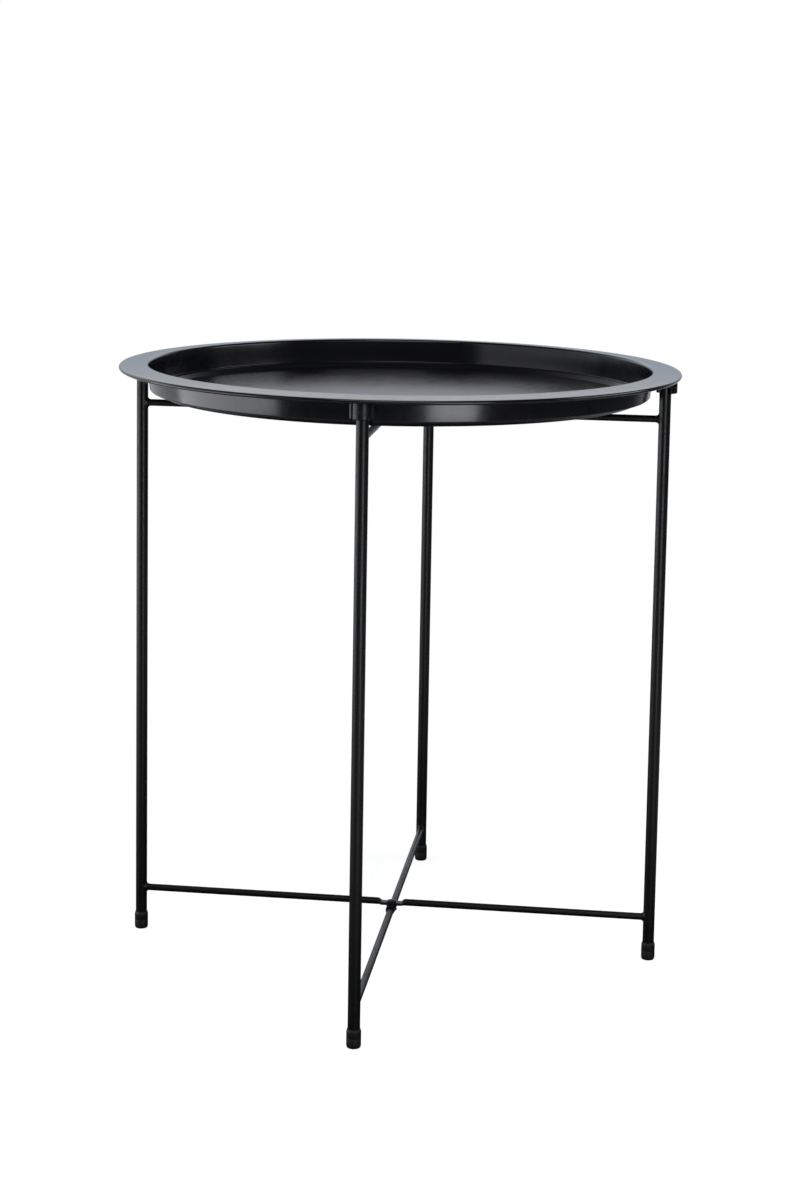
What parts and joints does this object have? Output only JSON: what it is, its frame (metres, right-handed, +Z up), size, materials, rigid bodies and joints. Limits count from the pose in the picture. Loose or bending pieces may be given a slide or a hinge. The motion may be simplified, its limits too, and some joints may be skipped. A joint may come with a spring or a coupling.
{
  "type": "folding side table",
  "caption": "Round folding side table: a lift-off sheet-metal tray with a wide rim, on crossing tube frames that turn flat together.",
  "frame": {"origin": "on the floor, at the middle of the footprint", "axes": "+X from the left leg to the right leg, +Y from the front leg to the back leg, +Z up"},
  "size_m": [0.4699, 0.47, 0.5049],
  "materials": {
    "tray_coat": "satin black powder coat on pressed sheet",
    "powder_coat": "satin black powder coat on tube and rod",
    "black_steel": "black-finished steel",
    "moulded_black": "black moulded plastic, low sheen",
    "foot_plastic": "matte black moulded cap"
  },
  "bodies": {
    "side_frame": {"left_leg": "powder_coat", "right_leg": "powder_coat", "side_frame_top_rail": "powder_coat", "side_frame_bottom_rail": "powder_coat", "side_frame_welds": "powder_coat", "left_foot": "foot_plastic", "right_foot": "foot_plastic", "top_pivot_rivet": "black_steel", "top_pivot_spacer": "moulded_black", "top_rivet_washer": "black_steel", "bottom_pivot_rivet": "black_steel", "bottom_pivot_washer": "black_steel", "bottom_rivet_washer": "black_steel"},
    "cross_frame": {"front_leg": "powder_coat", "back_leg": "powder_coat", "cross_frame_top_rail": "powder_coat", "cross_frame_bottom_rail": "powder_coat", "cross_frame_welds": "powder_coat", "front_foot": "foot_plastic", "back_foot": "foot_plastic"},
    "tray": {"tray": "tray_coat"},
    "left_clip": {"left_clip": "moulded_black"},
    "right_clip": {"right_clip": "moulded_black"},
    "front_clip": {"front_clip": "moulded_black"},
    "back_clip": {"back_clip": "moulded_black"}
  },
  "joints": [
    {"name": "fold", "type": "hinge", "parent": "side_frame", "child": "cross_frame", "pos_m": [0, 0, 0], "axis": [0, 0, 1], "range_deg": [-84, 84]},
    {"name": "tray_lift", "type": "slide", "parent": "side_frame", "child": "tray", "axis": [0, 0, 1], "range_m": [0, 0.06]},
    {"name": "left_clip_turn", "type": "hinge", "parent": "side_frame", "child": "left_clip", "pos_m": [-0.2216, 0, 0.495], "axis": [0, 0, 1], "range_deg": [-90, 90]},
    {"name": "right_clip_turn", "type": "hinge", "parent": "side_frame", "child": "right_clip", "pos_m": [0.2216, 0, 0.495], "axis": [0, 0, 1], "range_deg": [-90, 90]},
    {"name": "front_clip_turn", "type": "hinge", "parent": "cross_frame", "child": "front_clip", "pos_m": [0, -0.2216, 0.495], "axis": [0, 0, 1], "range_deg": [-90, 90]},
    {"name": "back_clip_turn", "type": "hinge", "parent": "cross_frame", "child": "back_clip", "pos_m": [0, 0.2216, 0.495], "axis": [0, 0, 1], "range_deg": [-90, 90]}
  ]
}
